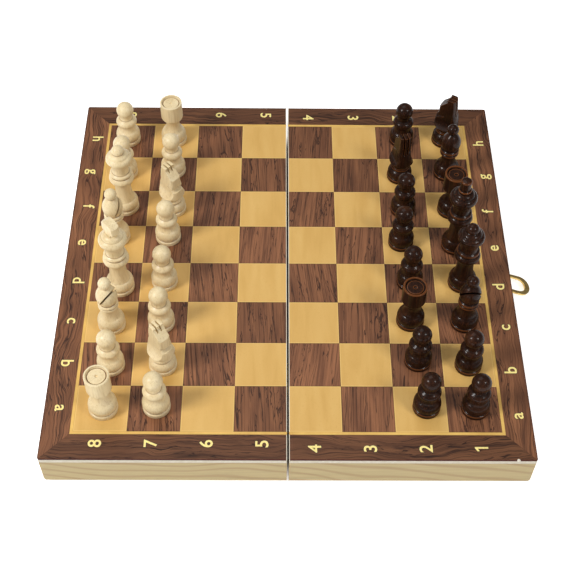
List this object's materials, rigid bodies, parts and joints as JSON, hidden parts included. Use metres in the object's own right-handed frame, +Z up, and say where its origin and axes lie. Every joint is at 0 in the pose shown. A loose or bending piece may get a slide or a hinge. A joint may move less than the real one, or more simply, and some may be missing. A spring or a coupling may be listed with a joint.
{
  "type": "folding chess set",
  "caption": "Folding wooden chess board of two hinged trays with inlaid squares, lettered border, brass hasp, and a full set of turned and carved pieces.",
  "frame": {"origin": "on the rim plane, under the middle of the open board, on the fold line", "axes": "+Z up through the playing face, +X from rank 8 towards rank 1 and the hasp, +Y from file a towards file h"},
  "size_m": [0.2589, 0.239, 0.0763],
  "materials": {
    "pine": "satin lacquered pine",
    "panel_wood": "pale sanded panel edge",
    "dark_veneer": "satin walnut-brown veneer with dark streaks",
    "light_veneer": "satin golden veneer",
    "stringing_wood": "satin pale gold line",
    "ivory_wood": "satin lacquered pale hardwood",
    "ebonised_wood": "gloss lacquered dark-stained hardwood",
    "brass": "pressed bright brass",
    "brass_fixing": "dull brass nails and screws",
    "steel_pin": "drawn steel"
  },
  "bodies": {
    "left_half": {"left_front_wall": "pine", "left_back_wall": "pine", "left_end_wall": "pine", "left_centre_wall": "pine", "left_panel": "panel_wood", "left_dark_squares": "dark_veneer", "left_light_squares": "light_veneer", "left_stringing": "stringing_wood", "left_border": "dark_veneer", "left_hinge_leaves": "brass", "left_hinge_screws": "brass_fixing", "catch_plate": "brass", "catch_nails": "brass_fixing"},
    "right_half": {"right_front_wall": "pine", "right_back_wall": "pine", "right_end_wall": "pine", "right_centre_wall": "pine", "right_panel": "panel_wood", "right_dark_squares": "dark_veneer", "right_light_squares": "light_veneer", "right_stringing": "stringing_wood", "right_border": "dark_veneer", "right_hinge_leaves": "brass", "right_hinge_screws": "brass_fixing", "hinge_pins": "steel_pin", "hasp_plate": "brass", "hasp_nails": "brass_fixing"},
    "hasp_loop": {"hasp_loop": "brass"},
    "white_pawn_1": {"white_pawn_1": "ivory_wood"},
    "white_pawn_2": {"white_pawn_2": "ivory_wood"},
    "white_pawn_3": {"white_pawn_3": "ivory_wood"},
    "white_pawn_4": {"white_pawn_4": "ivory_wood"},
    "white_pawn_5": {"white_pawn_5": "ivory_wood"},
    "white_pawn_6": {"white_pawn_6": "ivory_wood"},
    "white_pawn_7": {"white_pawn_7": "ivory_wood"},
    "white_pawn_8": {"white_pawn_8": "ivory_wood"},
    "white_rook_1": {"white_rook_1": "ivory_wood"},
    "white_rook_2": {"white_rook_2": "ivory_wood"},
    "white_knight_1": {"white_knight_1": "ivory_wood"},
    "white_knight_2": {"white_knight_2": "ivory_wood"},
    "white_bishop_1": {"white_bishop_1": "ivory_wood"},
    "white_bishop_2": {"white_bishop_2": "ivory_wood"},
    "white_queen": {"white_queen": "ivory_wood"},
    "white_king": {"white_king": "ivory_wood"},
    "black_pawn_1": {"black_pawn_1": "ebonised_wood"},
    "black_pawn_2": {"black_pawn_2": "ebonised_wood"},
    "black_pawn_3": {"black_pawn_3": "ebonised_wood"},
    "black_pawn_4": {"black_pawn_4": "ebonised_wood"},
    "black_pawn_5": {"black_pawn_5": "ebonised_wood"},
    "black_pawn_6": {"black_pawn_6": "ebonised_wood"},
    "black_pawn_7": {"black_pawn_7": "ebonised_wood"},
    "black_pawn_8": {"black_pawn_8": "ebonised_wood"},
    "black_rook_1": {"black_rook_1": "ebonised_wood"},
    "black_rook_2": {"black_rook_2": "ebonised_wood"},
    "black_knight_1": {"black_knight_1": "ebonised_wood"},
    "black_knight_2": {"black_knight_2": "ebonised_wood"},
    "black_bishop_1": {"black_bishop_1": "ebonised_wood"},
    "black_bishop_2": {"black_bishop_2": "ebonised_wood"},
    "black_queen": {"black_queen": "ebonised_wood"},
    "black_king": {"black_king": "ebonised_wood"}
  },
  "joints": [
    {"name": "fold", "type": "hinge", "parent": "left_half", "child": "right_half", "pos_m": [0, 0, -0.00015], "axis": [0, 1, 0], "range_deg": [0, 180]},
    {"name": "hasp_swing", "type": "hinge", "parent": "right_half", "child": "hasp_loop", "pos_m": [0.1219, 0, 0.006], "axis": [0, 1, 0], "range_deg": [-111, 68]},
    {"name": "white_pawn_1_lift", "type": "slide", "parent": "left_half", "child": "white_pawn_1", "axis": [0, 0, 1], "range_m": [0, 0.06]},
    {"name": "white_rook_1_lift", "type": "slide", "parent": "left_half", "child": "white_rook_1", "axis": [0, 0, 1], "range_m": [0, 0.06]},
    {"name": "white_knight_1_lift", "type": "slide", "parent": "left_half", "child": "white_knight_1", "axis": [0, 0, 1], "range_m": [0, 0.06]},
    {"name": "white_bishop_1_lift", "type": "slide", "parent": "left_half", "child": "white_bishop_1", "axis": [0, 0, 1], "range_m": [0, 0.06]},
    {"name": "white_queen_lift", "type": "slide", "parent": "left_half", "child": "white_queen", "axis": [0, 0, 1], "range_m": [0, 0.06]},
    {"name": "white_king_lift", "type": "slide", "parent": "left_half", "child": "white_king", "axis": [0, 0, 1], "range_m": [0, 0.06]},
    {"name": "black_pawn_1_lift", "type": "slide", "parent": "right_half", "child": "black_pawn_1", "axis": [0, 0, 1], "range_m": [0, 0.06]},
    {"name": "black_rook_1_lift", "type": "slide", "parent": "right_half", "child": "black_rook_1", "axis": [0, 0, 1], "range_m": [0, 0.06]},
    {"name": "black_knight_1_lift", "type": "slide", "parent": "right_half", "child": "black_knight_1", "axis": [0, 0, 1], "range_m": [0, 0.06]},
    {"name": "black_bishop_1_lift", "type": "slide", "parent": "right_half", "child": "black_bishop_1", "axis": [0, 0, 1], "range_m": [0, 0.06]},
    {"name": "black_queen_lift", "type": "slide", "parent": "right_half", "child": "black_queen", "axis": [0, 0, 1], "range_m": [0, 0.06]},
    {"name": "black_king_lift", "type": "slide", "parent": "right_half", "child": "black_king", "axis": [0, 0, 1], "range_m": [0, 0.06]},
    {"name": "white_pawn_2_lift", "type": "slide", "parent": "left_half", "child": "white_pawn_2", "axis": [0, 0, 1], "range_m": [0, 0.06]},
    {"name": "white_pawn_3_lift", "type": "slide", "parent": "left_half", "child": "white_pawn_3", "axis": [0, 0, 1], "range_m": [0, 0.06]},
    {"name": "white_pawn_4_lift", "type": "slide", "parent": "left_half", "child": "white_pawn_4", "axis": [0, 0, 1], "range_m": [0, 0.06]},
    {"name": "white_pawn_5_lift", "type": "slide", "parent": "left_half", "child": "white_pawn_5", "axis": [0, 0, 1], "range_m": [0, 0.06]},
    {"name": "white_pawn_6_lift", "type": "slide", "parent": "left_half", "child": "white_pawn_6", "axis": [0, 0, 1], "range_m": [0, 0.06]},
    {"name": "white_pawn_7_lift", "type": "slide", "parent": "left_half", "child": "white_pawn_7", "axis": [0, 0, 1], "range_m": [0, 0.06]},
    {"name": "white_pawn_8_lift", "type": "slide", "parent": "left_half", "child": "white_pawn_8", "axis": [0, 0, 1], "range_m": [0, 0.06]},
    {"name": "white_rook_2_lift", "type": "slide", "parent": "left_half", "child": "white_rook_2", "axis": [0, 0, 1], "range_m": [0, 0.06]},
    {"name": "white_knight_2_lift", "type": "slide", "parent": "left_half", "child": "white_knight_2", "axis": [0, 0, 1], "range_m": [0, 0.06]},
    {"name": "white_bishop_2_lift", "type": "slide", "parent": "left_half", "child": "white_bishop_2", "axis": [0, 0, 1], "range_m": [0, 0.06]},
    {"name": "black_pawn_2_lift", "type": "slide", "parent": "right_half", "child": "black_pawn_2", "axis": [0, 0, 1], "range_m": [0, 0.06]},
    {"name": "black_pawn_3_lift", "type": "slide", "parent": "right_half", "child": "black_pawn_3", "axis": [0, 0, 1], "range_m": [0, 0.06]},
    {"name": "black_pawn_4_lift", "type": "slide", "parent": "right_half", "child": "black_pawn_4", "axis": [0, 0, 1], "range_m": [0, 0.06]},
    {"name": "black_pawn_5_lift", "type": "slide", "parent": "right_half", "child": "black_pawn_5", "axis": [0, 0, 1], "range_m": [0, 0.06]},
    {"name": "black_pawn_6_lift", "type": "slide", "parent": "right_half", "child": "black_pawn_6", "axis": [0, 0, 1], "range_m": [0, 0.06]},
    {"name": "black_pawn_7_lift", "type": "slide", "parent": "right_half", "child": "black_pawn_7", "axis": [0, 0, 1], "range_m": [0, 0.06]},
    {"name": "black_pawn_8_lift", "type": "slide", "parent": "right_half", "child": "black_pawn_8", "axis": [0, 0, 1], "range_m": [0, 0.06]},
    {"name": "black_rook_2_lift", "type": "slide", "parent": "right_half", "child": "black_rook_2", "axis": [0, 0, 1], "range_m": [0, 0.06]},
    {"name": "black_knight_2_lift", "type": "slide", "parent": "right_half", "child": "black_knight_2", "axis": [0, 0, 1], "range_m": [0, 0.06]},
    {"name": "black_bishop_2_lift", "type": "slide", "parent": "right_half", "child": "black_bishop_2", "axis": [0, 0, 1], "range_m": [0, 0.06]}
  ]
}
